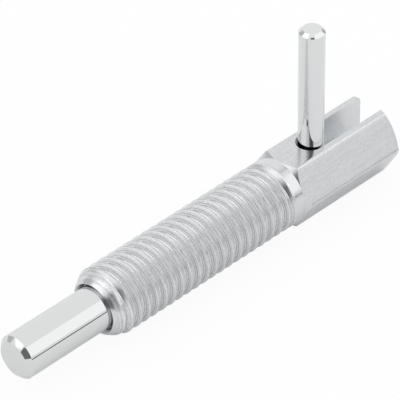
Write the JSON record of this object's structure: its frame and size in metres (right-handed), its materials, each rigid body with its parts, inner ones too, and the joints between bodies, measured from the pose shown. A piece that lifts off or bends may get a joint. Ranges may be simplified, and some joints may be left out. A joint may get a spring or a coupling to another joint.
{
  "type": "indexing plunger",
  "caption": "Spring-loaded indexing plunger: threaded barrel, slotted hexagon tail, round locking nose and a straight pull handle standing in the slot.",
  "frame": {"origin": "on the plunger's axis, in the body's front face that the locking nose comes out of", "axes": "+X along the axis from the nose toward the hexagon tail, +Z along the pull handle, square to two of the hexagon's flats"},
  "size_m": [0.0848, 0.0144, 0.0361],
  "materials": {
    "plated_steel": "bright zinc plate over turned steel, satin",
    "ground_steel": "ground and bright plated, near mirror",
    "spring_steel": "drawn wire, lightly oiled"
  },
  "bodies": {
    "sleeve": {"body": "plated_steel", "spring": "spring_steel"},
    "plunger": {"index_pin": "ground_steel", "handle_pin": "ground_steel"}
  },
  "joints": [
    {"name": "plunger_slide", "type": "slide", "parent": "sleeve", "child": "plunger", "axis": [1, 0, 0], "range_m": [0, 0.0178], "stiffness_N_per_m": 1500, "springref_m": -0.0065, "deforming": ["spring"]}
  ]
}
